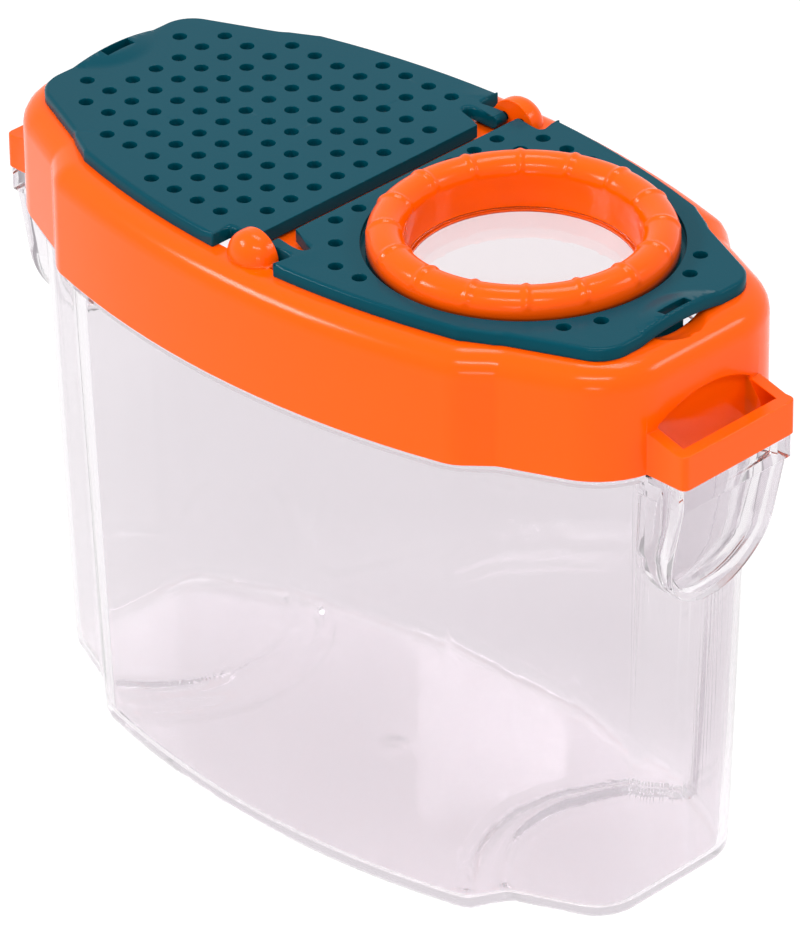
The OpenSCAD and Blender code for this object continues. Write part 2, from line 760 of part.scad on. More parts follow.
module ear() {
    difference() {
        union() {
            ear_block(0, -jar_t / 2, jar_h - flange_t / 2);
            centred_box(lid_end - wall_inset - jar_t / 2, lid_end + ear_reach, ear_rim_w,
                jar_h - ear_rim_h, jar_h);
        }
        ear_block(ear_t, ear_wall_gap, jar_h + over);
    }
}

module jar() {
    color("lavender", 0.35) difference() {
        union() {
            jar_shell();
            both_ends() end_floor();
            both_ends() ear();
        }
        // Hollow under each raised end floor, and the dimple in the middle
        both_ends() lobe_cone(-over, lobe_rise);
        translate([0, 0, floor_t - dimple_depth])
            cylinder(h = dimple_depth + over, r1 = dimple_r / 2, r2 = dimple_r);
    }
}

jar();
lid_frame();
vent_flap();
lens_flap();
bezel();
lens();
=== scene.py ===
"""The looks of a clear bug catcher jar: orange lid frame, two dark teal flaps and a turning magnifier."""

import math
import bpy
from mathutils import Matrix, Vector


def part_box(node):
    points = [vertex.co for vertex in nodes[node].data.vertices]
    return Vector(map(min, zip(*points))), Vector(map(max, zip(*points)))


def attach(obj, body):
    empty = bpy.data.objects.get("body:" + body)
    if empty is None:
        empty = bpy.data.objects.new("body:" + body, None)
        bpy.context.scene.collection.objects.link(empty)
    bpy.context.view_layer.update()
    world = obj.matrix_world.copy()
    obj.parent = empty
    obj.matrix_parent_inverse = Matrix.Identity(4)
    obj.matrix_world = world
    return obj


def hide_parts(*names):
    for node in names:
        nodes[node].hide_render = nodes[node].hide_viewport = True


bl_info = {
    "name": "Bug Catcher Jar",
    "version": (1, 0, 0),
    "blender": (4, 5, 0),
    "location": "View3D > Sidebar > Bug Jar",
    "description": "Finishes the bug catcher jar's pieces and sets them on a studio stage",
    "category": "Object",
}

import bmesh
import bpy
from bpy.props import FloatProperty, FloatVectorProperty, IntProperty, PointerProperty
from mathutils import Euler, Matrix, Vector

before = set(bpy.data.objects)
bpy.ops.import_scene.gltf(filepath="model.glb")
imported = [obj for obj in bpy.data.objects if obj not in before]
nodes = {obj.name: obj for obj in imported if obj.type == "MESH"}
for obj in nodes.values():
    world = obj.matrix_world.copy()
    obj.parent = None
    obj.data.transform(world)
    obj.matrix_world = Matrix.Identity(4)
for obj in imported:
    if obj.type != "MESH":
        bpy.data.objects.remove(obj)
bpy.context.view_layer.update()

# The photograph's longer side in pixels, the camera's sensor that stands for it, and how far the camera sees
PHOTO_LONG_SIDE = 929
SENSOR_WIDTH = 36.0
CAMERA_REACH = 20.0

# The lamps, each as its name, place, width and height, and the point that they are all aimed at
LAMPS = (
    ("key", (-1.0, -1.1, 1.1), 0.6, 0.35),
    ("fill", (1.05, 1.0, 1.1), 0.5, 0.3),
    ("front", (0.65, -0.75, 1.35), 0.9, 0.1),
    ("low", (1.2, -1.4, 0.45), 0.5, 0.1),
    ("top", (-0.2, 0.5, 1.8), 0.9, 0.5),
)
LAMP_AIM = (0.0, 0.0, 0.06)

# White as a colour, and the roughness of the floor
WHITE = (1.0, 1.0, 1.0, 1.0)
FLOOR_ROUGHNESS = 0.9

# Noise of the moulded plastics, as scale and detail, its levels that change nothing, and the grain's depth
FLOW_NOISE = (38.0, 3.0)
SCUFF_NOISE = (260.0, 6.0)
GRAIN_NOISE = (1900.0, 2.0)
NO_FLOW = 0.5
NO_SCUFF = 0.4
GRAIN_DEPTH = 0.0002

# Light that is still inside clear plastic after this many bends goes straight out of it
MOST_BENDS = 5.5

# A node's loose triangles are joined where corners lie this close, and faces that turn less are one face
JOIN = 2e-6
FLAT = math.radians(0.4)

# Edges that turn more than this are rounded, in this many steps, and slivers narrower than this are closed
LEAST_TURN = math.radians(50)
EDGE_STEPS = 2
SLIVER = 0.00003

# How far the largest faces lead when a corner's normal is averaged, in percent
FLAT_FACE_WEIGHT = 100

# An arc of the jar's outline with a radius over WIDE_R is a wide one, and it gets more steps than a corner
WIDE_R = 0.05
WIDE_STEPS = 26
CORNER_STEPS = 10

# A gap between two arcs that is longer than FACE_GAP is a flat face, and it gets steps of its own
FACE_GAP = 0.003
FACE_STEPS = 12

# The bowed side starts this far past the shoulder's arc, so that no two points of the outline meet
SIDE_LEAD = 0.001

# Least radius of the shoulder in an outline that is moved inwards, and past it the outline shrinks evenly
LEAST_R = 0.0008

# The wall follows the raised end floors up to this many foot radii above the foot
FADE_RADII = 5

# Steps round the foot's edge, up the wall that follows the floors, across the floor and round an ear's foot
FOOT_STEPS = 7
FADE_STEPS = 6
FLOOR_RINGS = 56
EAR_STEPS = 16

# A flap's lifted end: how many bevel widths back it is cut into steps, and how many its bevel may reach down
CUT_REACH = 3
BEVEL_REACH = 1.1

# Its corners that lie this close are one, and its edges that are this short are removed
SLACK = JOIN * 10
SPECK = JOIN * 5

# How far a face of the ring points upwards where a nub starts to show and where it has its full height
NUB_FADE = (0.05, 0.55)

# How far the nubs stand out of the ring in the frame, and places that are taken from the frame
CAD_NUB = 0.0003
lens_middle = (Vector(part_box("lens")[0]) + Vector(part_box("lens")[1])) / 2
ring_low, ring_high = (Vector(corner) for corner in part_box("bezel"))
flap_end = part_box("lens_flap")[1][0]


# Sizes and colours that a user would change

def colour(name, description, default):
    """A colour that the user sets."""
    return FloatVectorProperty(name=name, description=description, default=default,
                               subtype="COLOR", size=3, min=0.0, max=1.0)


def factor(name, description, default):
    """A share from 0 to 1 that the user sets."""
    return FloatProperty(name=name, description=description, default=default,
                         subtype="FACTOR", min=0.0, max=1.0)


def power(name, description, default):
    """A lamp's power in watts that the user sets."""
    return FloatProperty(name=name, description=description, default=default, unit="POWER", min=0.0)


def length(name, description, default):
    """A length in metres that the user sets."""
    return FloatProperty(name=name, description=description, default=default,
                         subtype="DISTANCE", unit="LENGTH", min=0.0, precision=5)


class JarFinish(bpy.types.PropertyGroup):
    """Colours, gloss and edges of the plastics"""
    orange: colour("Orange plastic", "Colour of the lid frame and of the bezel", (1.0, 0.1, 0.0))
    teal: colour("Teal plastic", "Colour of the two flaps", (0.0, 0.054, 0.079))
    clear_tint: colour("Clear plastic", "Tint of the jar", (0.842, 0.812, 0.838))
    lens_tint: colour("Lens plastic", "Tint of the lens", (0.93, 0.885, 0.885))
    clear_ior: FloatProperty(name="Clear plastic IOR", description="How strongly clear plastic bends light",
                             default=1.49, min=1.0, max=2.0)
    gloss: factor("Orange roughness", "Roughness of the orange plastic", 0.16)
    satin: factor("Teal roughness", "Roughness of the teal plastic", 0.18)
    sheen: factor("Orange reflection", "Specular level of the orange plastic", 0.17)
    teal_sheen: factor("Teal reflection", "Specular level of the teal plastic", 0.07)
    edge_round: length("Edge rounding", "Radius at the edges of the lid frame and the lens", 0.0002)
    jar_edge: length("Jar edge rounding", "Radius at the edges of the jar", 0.0003)
    hole_edge: length("Flap edge rounding", "Radius at the edges of a flap and its air holes", 0.00012)


class JarShape(bpy.types.PropertyGroup):
    """Sizes of the clear jar"""
    lid_length: length("Lid length", "Length of the lid's plan, which the jar's plan lies inside", 0.1445)
    lid_width: length("Lid width", "Width of the lid's plan", 0.079)
    shoulder_x: length("Shoulder place", "Distance from the middle to the shoulder", 0.0468)
    side_bow: length("Side bow", "How far the bowed side falls towards the shoulder", 0.0065)
    step_x: length("Step place", "Distance from the middle to the foot of the step", 0.0523)
    step_depth: length("Step depth", "How far the foot of the step lies inside the shoulder", 0.0048)
    end_width: length("End width", "Width of the end before its corners are rounded", 0.039)
    shoulder_r: length("Shoulder radius", "Radius of the shoulder in plan", 0.017)
    step_r: length("Step radius", "Radius of the hollow at the step", 0.013)
    corner_r: length("Corner radius", "Radius of the end corners in plan", 0.015)
    flange_z: length("Flange height", "Height of the flange that the lid stands on", 0.092)
    flange: length("Flange thickness", "Thickness of the flange", 0.0018)
    flange_inset: length("Flange inset", "Distance from the lid's outline to the flange's edge", 0.0008)
    wall_inset: length("Wall inset", "Distance from the lid's outline to the wall under the flange", 0.003)
    draft: length("Draft", "How much further in the wall is at the foot", 0.0028)
    wall: length("Wall", "Thickness of the wall", 0.0018)
    floor: length("Floor", "Thickness of the floor", 0.002)
    foot_r: length("Foot radius", "Radius of the edge round the foot", 0.0025)
    neck_inset: length("Neck inset", "Distance from the lid's outline to the neck inside the skirt", 0.0025)
    neck_z: length("Neck height", "Height of the top of the neck", 0.1096)
    lobe_x: length("Lobe place", "Distance from the middle to each raised end floor", 0.060)
    lobe_r: length("Lobe radius", "Radius of a raised end floor", 0.0245)
    lobe_slope: length("Lobe slope", "Width of the slope round it", 0.0065)
    lobe_rise: length("Lobe rise", "Height of the raised end floors", 0.0022)
    bead: length("Bead", "Height of the beads along the top and the foot of that slope", 0.0007)
    bead_width: length("Bead width", "Half width of those beads", 0.0012)
    dimple_r: length("Dimple radius", "Radius of the dimple in the floor", 0.0034)
    dimple: length("Dimple depth", "Depth of that dimple", 0.0006)
    ear_reach: length("Ear reach", "How far an ear's rim stands out beyond the lid's end", 0.0073)
    ear_rim: length("Ear rim height", "Height of an ear's thick rim", 0.005)
    ear_width: length("Ear width", "Width of an ear's rim", 0.0258)
    ear_step: length("Ear step", "How far an ear's body lies inside its rim", 0.0006)
    ear_height: length("Ear height", "Height of an ear", 0.028)
    ear_taper: length("Ear taper", "How much less an ear stands out at its foot", 0.005)
    ear_wall: length("Ear wall", "Thickness of an ear's wall", 0.0016)
    ear_gap: length("Ear gap", "Clearance between the jar's wall and an ear's pocket", 0.0003)


class BezelShape(bpy.types.PropertyGroup):
    """Sizes of the magnifier's ring"""
    nubs: IntProperty(name="Grip nubs", description="How many low nubs go round the bezel", default=16, min=3)
    nub_height: length("Nub height", "How far a nub stands out of the ring", 0.00029)
    nub_width: length("Nub width", "Width of a nub along the ring", 0.0019)
    ring: length("Ring radius", "Radius of the ring to the middle of its round section", 0.0228)
    tube: length("Ring section", "Radius of the ring's round section", 0.0032)
    rise: length("Ring rise", "How high the middle of that section lies above the lens flap", 0.0008)
    sunk: length("Ring foot", "How far the ring's outer wall goes down into its well", 0.0015)
    neck: length("Neck step", "How far the neck lies outside the middle of the section", 0.0006)
    neck_drop: length("Neck end", "Length of the neck below the snap lip", 0.002)
    lip: length("Snap lip", "How far the snap lip stands out from the neck", 0.0005)
    lip_height: length("Snap lip height", "Height of the snap lip", 0.0012)
    shelf: length("Lens shelf", "Width of the shelf under the lens", 0.0008)
    steps: IntProperty(name="Steps round the ring", description="Faces around the ring", default=480, min=64)
    arc_steps: IntProperty(name="Steps over the ring", description="Faces over the round section", default=28,
                           min=8)


class TabShape(bpy.types.PropertyGroup):
    """Sizes of the flaps' lifted ends"""
    dome: length("Tab dome", "Radius of the low dome that lifts a flap's end", 0.045)
    height: length("Tab height", "Height of that dome above the flap", 0.0012)
    reach: length("Tab reach", "How far the middle of the dome lies beyond the flap's end", 0.0034)
    rim: length("Flap bevel", "Width of the bevel round a flap's upper edge", 0.0006)
    cuts: IntProperty(name="Tab cuts", description="Steps along the lifted edge", default=28, min=4)


class StageSetup(bpy.types.PropertyGroup):
    """The camera, the floor and the lamps"""
    camera_place: FloatVectorProperty(name="Camera place", description="Where the camera stands",
                                      default=(0.78979, -0.78879, 0.72943),
                                      subtype="TRANSLATION", unit="LENGTH")
    camera_turn: FloatVectorProperty(name="Camera turn", description="The camera's rotation",
                                     default=tuple(math.radians(a) for a in (58.98865, 0.67013, 44.56016)),
                                     subtype="EULER", unit="ROTATION")
    focal_pixels: FloatProperty(name="Focal length in pixels", description="Focal length of the photo's lens",
                                default=7623.2, min=1.0)
    floor_colour: colour("Floor", "Colour of the floor", (0.9, 0.9, 0.9))
    floor_reach: length("Floor reach", "How far the floor goes from the jar", 4.0)
    floor_gap: length("Floor gap", "How far the floor lies under the jar's foot", 0.0002)
    floor_glow: factor("Floor glow", "Share of plain white in the floor as it is seen", 0.6)
    key_power: power("Key light", "Power of the softbox on the left", 15.0)
    fill_power: power("Fill light", "Power of the softbox on the right", 5.0)
    front_power: power("Front light", "Power of the strip light above the camera", 9.0)
    low_power: power("Low light", "Power of the low strip light in front", 3.0)
    top_power: power("Top light", "Power of the softbox above", 12.0)
    sky: FloatProperty(name="Room light", description="Strength of the even light from all round",
                       default=0.55, min=0.0)


# Shader helpers

def new_material(name):
    """A material with one Principled shader on its surface, and that shader."""
    mat = bpy.data.materials.new(name)
    mat.use_nodes = True
    tree = mat.node_tree
    tree.nodes.clear()
    out = tree.nodes.new("ShaderNodeOutputMaterial")
    shader = tree.nodes.new("ShaderNodeBsdfPrincipled")
    tree.links.new(shader.outputs[0], out.inputs["Surface"])
    return mat, shader


def show_mix(tree, share, first, second):
    """Shows two shaders on the surface, with a share of the second."""
    mix = tree.nodes.new("ShaderNodeMixShader")
    tree.links.new(share, mix.inputs["Fac"])
    tree.links.new(first.outputs[0], mix.inputs[1])
    tree.links.new(second.outputs[0], mix.inputs[2])
    out = next(n for n in tree.nodes if n.bl_idname == "ShaderNodeOutputMaterial")
    tree.links.new(mix.outputs[0], out.inputs["Surface"])


def socket(group, name, kind, in_out):
    """Gives a node group an input or an output."""
    group.interface.new_socket(name=name, in_out=in_out, socket_type=kind)


def math_node(tree, operation, a, b, clamp=False):
    """A Math node on two values, each a number or another node's output."""
    node = tree.nodes.new("ShaderNodeMath")
    node.operation = operation
    node.use_clamp = clamp
    for i, value in enumerate((a, b)):
        if isinstance(value, (int, float)):
            node.inputs[i].default_value = value
        else:
            tree.links.new(value, node.inputs[i])
    return node.outputs[0]


def moulded_group():
    """Moulded plastic: faint flow marks in the colour, fine scuffs in the gloss and a soft skin grain."""
    group = bpy.data.node_groups.new("Moulded plastic", "ShaderNodeTree")
    socket(group, "Colour", "NodeSocketColor", "INPUT")
    socket(group, "Roughness", "NodeSocketFloat", "INPUT")
    socket(group, "Flow marks", "NodeSocketFloat", "INPUT")
    socket(group, "Scuffs", "NodeSocketFloat", "INPUT")
    socket(group, "Skin grain", "NodeSocketFloat", "INPUT")
    socket(group, "Colour", "NodeSocketColor", "OUTPUT")
    socket(group, "Roughness", "NodeSocketFloat", "OUTPUT")
    socket(group, "Normal", "NodeSocketVector", "OUTPUT")
    given = group.nodes.new("NodeGroupInput")
    result = group.nodes.new("NodeGroupOutput")
    coords = group.nodes.new("ShaderNodeTexCoord")

    def noise(scale, detail):
        node = group.nodes.new("ShaderNodeTexNoise")
        node.inputs["Scale"].default_value = scale
        node.inputs["Detail"].default_value = detail
        group.links.new(coords.outputs["Object"], node.inputs["Vector"])
        return node.outputs["Fac"]

    flow, scuff, grain = noise(*FLOW_NOISE), noise(*SCUFF_NOISE), noise(*GRAIN_NOISE)
    hsv = group.nodes.new("ShaderNodeHueSaturation")
    group.links.new(given.outputs["Colour"], hsv.inputs["Color"])
    flow_off = math_node(group, "SUBTRACT", flow, NO_FLOW)
    lift = math_node(group, "MULTIPLY", flow_off, given.outputs["Flow marks"])
    group.links.new(math_node(group, "ADD", lift, 1.0), hsv.inputs["Value"])
    group.links.new(hsv.outputs[0], result.inputs["Colour"])
    scuff_off = math_node(group, "SUBTRACT", scuff, NO_SCUFF)
    rub = math_node(group, "MULTIPLY", scuff_off, given.outputs["Scuffs"])
    rough = math_node(group, "ADD", rub, given.outputs["Roughness"], clamp=True)
    group.links.new(rough, result.inputs["Roughness"])
    skin = group.nodes.new("ShaderNodeBump")
    skin.inputs["Distance"].default_value = GRAIN_DEPTH
    group.links.new(given.outputs["Skin grain"], skin.inputs["Strength"])
    group.links.new(grain, skin.inputs["Height"])
    group.links.new(skin.outputs[0], result.inputs["Normal"])
    return group


def plastic(name, group, tint, rough, flow, scuffs, grain):
    """A moulded plastic with its own colour, gloss and wear. Returns its shader."""
    mat, shader = new_material(name)
    tree = mat.node_tree
    moulded = tree.nodes.new("ShaderNodeGroup")
    moulded.node_tree = group
    moulded.inputs["Colour"].default_value = (*tint, 1.0)
    moulded.inputs["Roughness"].default_value = rough
    moulded.inputs["Flow marks"].default_value = flow
    moulded.inputs["Scuffs"].default_value = scuffs
    moulded.inputs["Skin grain"].default_value = grain
    tree.links.new(moulded.outputs["Colour"], shader.inputs["Base Color"])
    tree.links.new(moulded.outputs["Roughness"], shader.inputs["Roughness"])
    tree.links.new(moulded.outputs["Normal"], shader.inputs["Normal"])
    return shader


def clear(name, group, tint, ior, rough, grain):
    """Clear plastic that lets the lamps' light through to what stands inside it."""
    shader = plastic(name, group, tint, rough, flow=0.0, scuffs=0.02, grain=grain)
    shader.inputs["IOR"].default_value = ior
    shader.inputs["Transmission Weight"].default_value = 1.0
    tree = bpy.data.materials[name].node_tree
    path = tree.nodes.new("ShaderNodeLightPath")
    through = tree.nodes.new("ShaderNodeBsdfTransparent")
    through.inputs["Color"].default_value = (*(math.sqrt(part) for part in tint), 1.0)
    trapped = math_node(tree, "GREATER_THAN", path.outputs["Ray Depth"], MOST_BENDS)
    show_mix(tree, math_node(tree, "MAXIMUM", path.outputs["Is Shadow Ray"], trapped), shader, through)


def make_plastics(look):
    """The four plastics, with one group for what they share."""
    group = moulded_group()
    orange = plastic("Orange plastic", group, look.orange, look.gloss, flow=0.06, scuffs=0.05, grain=0.02)
    orange.inputs["Specular IOR Level"].default_value = look.sheen
    teal = plastic("Teal plastic", group, look.teal, look.satin, flow=0.12, scuffs=0.1, grain=0.1)
    teal.inputs["Specular IOR Level"].default_value = look.teal_sheen
    clear("Clear plastic", group, look.clear_tint, look.clear_ior, rough=0.015, grain=0.01)
    clear("Lens plastic", group, look.lens_tint, look.clear_ior, rough=0.0, grain=0.0)


def material(look, name):
    """One of the plastics, which are all made the first time that one is asked for."""
    if name not in bpy.data.materials:
        make_plastics(look)
    return bpy.data.materials[name]


# Mesh helpers

def merged(node):
    """A copy of a node's mesh with its loose triangles joined and its flat faces made whole."""
    bm = bmesh.new()
    bm.from_mesh(nodes[node].data)
    bmesh.ops.remove_doubles(bm, verts=bm.verts, dist=JOIN)
    bmesh.ops.dissolve_limit(bm, angle_limit=FLAT, verts=bm.verts, edges=bm.edges)
    return bm


def skin_between(bm, rows):
    """Faces from each closed row of points to the next."""
    for low, high in zip(rows, rows[1:]):
        for i in range(len(low)):
            j = (i + 1) % len(low)
            bm.faces.new((low[i], low[j], high[j], high[i]))


def piece_from(bm, name, mat):
    """A new piece with a mesh and one material, smooth all over."""
    mesh = bpy.data.meshes.new(name)
    bm.to_mesh(mesh)
    bm.free()
    mesh.materials.append(mat)
    mesh.shade_smooth()
    piece = bpy.data.objects.new(name, mesh)
    bpy.context.scene.collection.objects.link(piece)
    return piece


def bake_modifiers(piece):
    """Makes what the modifiers give the piece's own mesh and takes them off."""
    shown = piece.evaluated_get(bpy.context.evaluated_depsgraph_get())
    mesh = bpy.data.meshes.new_from_object(shown)
    piece.modifiers.clear()
    old, piece.data = piece.data, mesh
    mesh.name = piece.name
    bpy.data.meshes.remove(old)


def flat_faces_first(piece):
    """Lets the flat faces keep their own normals, and makes the piece's modifiers its mesh."""
    shading = piece.modifiers.new("Flat faces first", "WEIGHTED_NORMAL")
    shading.weight = FLAT_FACE_WEIGHT
    bake_modifiers(piece)


def round_edges(piece, width):
    """Rounds the sharp outer edges of a piece and leaves its inner corners as they are."""
    bm = bmesh.new()
    bm.from_mesh(piece.data)
    marks = bm.edges.layers.float.new("bevel_weight_edge")
    for edge in bm.edges:
        if edge.is_manifold and edge.calc_face_angle_signed() > LEAST_TURN:
            edge[marks] = 1.0
    bm.to_mesh(piece.data)
    bm.free()
    bevel = piece.modifiers.new("Rounded edges", "BEVEL")
    bevel.width = width
    bevel.segments = EDGE_STEPS
    bevel.limit_method = "WEIGHT"
    bevel.use_clamp_overlap = False
    weld = piece.modifiers.new("Weld", "WELD")
    weld.merge_threshold = SLIVER
    flat_faces_first(piece)


def dress(piece, node, body):
    """Puts a piece on its body and hides the node that it takes the place of."""
    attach(piece, body)
    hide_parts(node)


# The jar

def corner_arc(before, at, after, radius):
    """The arc that rounds a corner, as middle, radius, first and last angle, and 1 where it bulges or -1."""
    a, b = (at - before).normalized(), (after - at).normalized()
    turn = math.atan2(a.x * b.y - a.y * b.x, a.dot(b))
    side = math.copysign(1.0, turn)
    start = at - a * radius * math.tan(abs(turn) / 2)
    middle = start + Vector((-a.y, a.x)) * radius * side
    first = math.atan2(start.y - middle.y, start.x - middle.x)
    return middle, radius, first, first + turn, side


def plan_arcs(shape):
    """One quarter of the lid's plan, from the end face round to the middle of the bowed side."""
    end = Vector((shape.lid_length / 2, shape.end_width / 2))
    shoulder = Vector((shape.shoulder_x, shape.lid_width / 2 - shape.side_bow))
    step = Vector((shape.step_x, shoulder.y - shape.step_depth))
    side_r = (shoulder.x ** 2 + shape.side_bow ** 2) / (2 * shape.side_bow)
    side_middle = Vector((0, shape.lid_width / 2 - side_r))
    out = (shoulder - side_middle).normalized()
    bend = corner_arc(step, shoulder, shoulder + Vector((-out.y, out.x)), shape.shoulder_r)
    middle, radius, _, last, _ = bend
    top = middle + radius * Vector((math.cos(last), math.sin(last))) - side_middle
    start = math.atan2(top.y, top.x) + SIDE_LEAD / side_r
    return [corner_arc(Vector((end.x, 0)), end, step, shape.corner_r),
            corner_arc(end, step, shoulder, shape.step_r), bend,
            (side_middle, side_r, start, math.pi / 2, 1.0)]


def plan_ring(shape, inset):
    """The whole plan, moved inwards by inset, as points that go round once, as many for any inset."""
    bend = min(inset, shape.shoulder_r - LEAST_R)
    quarter = [Vector((shape.lid_length / 2 - bend, 0))]
    for middle, radius, first, last, side in plan_arcs(shape):
        steps = WIDE_STEPS if radius > WIDE_R else CORNER_STEPS
        reach = radius - side * bend
        arc = [Vector((middle.x + reach * math.cos(t), middle.y + reach * math.sin(t)))
               for t in (first + (last - first) * i / steps for i in range(steps + 1))]
        last_point = quarter[-1]
        if (arc[0] - last_point).length > FACE_GAP:
            quarter += [last_point.lerp(arc[0], i / FACE_STEPS) for i in range(1, FACE_STEPS)]
        quarter += arc
    quarter = [p * (1 - (inset - bend) / p.length) for p in quarter]
    half = quarter + [Vector((-p.x, p.y)) for p in reversed(quarter[:-1])]
    return half + [Vector((p.x, -p.y)) for p in reversed(half[1:-1])]


def swell(away, place, width):
    """A soft swell of height 1 at a place."""
    return math.exp(-((away - place) / width) ** 2)


def lobe(shape, p):
    """How far the raised end floors lift the floor at a place, and what is added to its upper face there."""
    away = min((p - Vector((x, 0))).length for x in (shape.lobe_x, -shape.lobe_x))
    share = min(max((away - shape.lobe_r) / shape.lobe_slope, 0.0), 1.0)
    beads = swell(away, shape.lobe_r, shape.bead_width)
    beads += swell(away, shape.lobe_r + shape.lobe_slope, shape.bead_width)
    dip = shape.dimple * max(0.0, 1 - p.length_squared / shape.dimple_r ** 2)
    return shape.lobe_rise * (1 - share), shape.bead * beads - dip


def jar_shell(shape):
    """The jar as one surface: from under the floor up the wall, over the neck and down to the inner floor."""
    bm = bmesh.new()
    foot = shape.wall_inset + shape.draft
    under = shape.flange_z - shape.flange
    fade = FADE_RADII * shape.foot_r

    def wall_inset(z):
        return shape.wall_inset + (foot - shape.wall_inset) * (1 - z / under)

    def quarter_round(z0, inset, radius):
        turns = [math.pi / 2 * (1 - i / FOOT_STEPS) for i in range(FOOT_STEPS + 1)]
        return [(z0 + radius * (1 - math.sin(t)), inset + radius * (1 - math.cos(t))) for t in turns]

    inner_r = shape.foot_r - shape.wall / 2
    outside = quarter_round(0.0, foot, shape.foot_r)
    walls = [shape.foot_r + (fade - shape.foot_r) * i / FADE_STEPS for i in range(1, FADE_STEPS + 1)]
    outside += [(z, wall_inset(z)) for z in walls]
    neck_in = shape.neck_inset + shape.wall
    over = [(under, shape.wall_inset), (under, shape.flange_inset), (shape.flange_z, shape.flange_inset),
            (shape.flange_z, shape.neck_inset), (shape.neck_z, shape.neck_inset), (shape.neck_z, neck_in),
            (shape.flange_z, neck_in), (under, shape.wall_inset + shape.wall)]
    inside = [(z, wall_inset(z) + shape.wall) for z in reversed(walls)]
    inside += quarter_round(shape.floor, foot + shape.wall, inner_r)[::-1]

    def ring(z, inset, share=1.0, upper=False):
        row = []
        for p in plan_ring(shape, inset):
            q = p * share
            rise, more = lobe(shape, q)
            lift = rise + more if upper else rise
            row.append(bm.verts.new((q.x, q.y, z + lift * max(0.0, 1 - z / fade))))
        return row

    shares = [i / FLOOR_RINGS for i in range(1, FLOOR_RINGS)]
    first_z, first_inset = outside[0]
    last_z, last_inset = inside[-1]
    rows = [ring(first_z, first_inset, share) for share in shares]
    rows += [ring(z, inset) for z, inset in outside + over + inside]
    rows += [ring(last_z, last_inset, share, upper=True) for share in reversed(shares)]
    skin_between(bm, rows)
    for row, z, dip in ((rows[0], first_z, 0.0), (rows[-1], last_z, shape.dimple)):
        hub = bm.verts.new((0, 0, z - dip))
        for i in range(len(row)):
            bm.faces.new((hub, row[i], row[(i + 1) % len(row)]))
    bmesh.ops.recalc_face_normals(bm, faces=bm.faces)
    return bm


def block_from(rows):
    """A closed block through a stack of rectangles, each (height, half width, near x, far x)."""
    bm = bmesh.new()
    rings = [[bm.verts.new(corner) for corner in ((x0, -w, z), (x1, -w, z), (x1, w, z), (x0, w, z))]
             for z, w, x0, x1 in rows]
    skin_between(bm, rings)
    bm.faces.new(rings[0])
    bm.faces.new(rings[-1])
    bmesh.ops.recalc_face_normals(bm, faces=bm.faces)
    return bm


def ear_rows(shape, inset, root, top):
    """Rows of an ear's tongue, drawn in by inset on every side, from its round foot up to top."""
    end = shape.lid_length / 2
    under = shape.flange_z - shape.flange
    width = shape.ear_width / 2 - shape.ear_step - inset
    far = end + shape.ear_reach - shape.ear_step - inset
    low = shape.flange_z - shape.ear_height + inset
    bend = shape.flange_z - shape.ear_rim
    turns = [math.pi / 2 * i / EAR_STEPS for i in range(1, EAR_STEPS + 1)]
    heights = [(low + width * (1 - math.cos(t)), width * math.sin(t)) for t in turns]
    heights += [(bend, width), (top, width)]
    return [(z, w, end - shape.wall_inset - shape.draft * (1 - z / under) + root,
             far - shape.ear_taper * max(0.0, (bend - z) / (bend - low))) for z, w in heights]


def cut_or_join(piece, other, operation):
    """Joins another piece to this one, or cuts it away, and removes the other."""
    modifier = piece.modifiers.new(operation, "BOOLEAN")
    modifier.operation = operation
    modifier.object = other
    modifier.solver = "EXACT"
    bake_modifiers(piece)
    bpy.data.objects.remove(other)


class BUGJAR_OT_jar(bpy.types.Operator):
    """Make the clear jar with its raised end floors, ears and softened edges"""
    bl_idname = "bugjar.jar"
    bl_label = "Make the jar"

    def execute(self, context):
        look = context.scene.jar_finish
        shape = context.scene.jar_shape
        mat = material(look, "Clear plastic")
        jar = piece_from(jar_shell(shape), "clear_jar", mat)
        end = shape.lid_length / 2
        roof = shape.flange_z - shape.flange / 2
        rim = shape.ear_width / 2
        for side in (1, -1):
            ear = piece_from(block_from(ear_rows(shape, 0.0, -shape.wall / 2, roof)), "ear", mat)
            band = block_from([(z, rim, end - shape.wall_inset - shape.wall / 2, end + shape.ear_reach)
                               for z in (shape.flange_z - shape.ear_rim + shape.ear_gap, shape.flange_z)])
            cut_or_join(ear, piece_from(band, "ear_rim", mat), "UNION")
            open_top = shape.flange_z + shape.ear_wall
            pocket = block_from(ear_rows(shape, shape.ear_wall, shape.ear_gap, open_top))
            cut_or_join(ear, piece_from(pocket, "ear_pocket", mat), "DIFFERENCE")
            if side < 0:
                ear.data.transform(Matrix.Rotation(math.pi, 4, "Z"))
            cut_or_join(jar, ear, "UNION")
        round_edges(jar, look.jar_edge)
        dress(jar, "jar", "jar")
        return {"FINISHED"}


# The lid frame

class BUGJAR_OT_lid(bpy.types.Operator):
    """Make the orange lid frame with softened edges"""
    bl_idname = "bugjar.lid"
    bl_label = "Make the lid frame"

    def execute(self, context):
        look = context.scene.jar_finish
        lid = piece_from(merged("lid_frame"), "orange_lid", material(look, "Orange plastic"))
        round_edges(lid, look.edge_round)
        dress(lid, "lid_frame", "lid")
        return {"FINISHED"}


# The flaps

def dome_height(tab, away):
    """Height of a finger tab's dome above the flap, at a distance from the dome's middle."""
    return tab.height - tab.dome + math.sqrt(tab.dome ** 2 - min(away, tab.dome) ** 2)


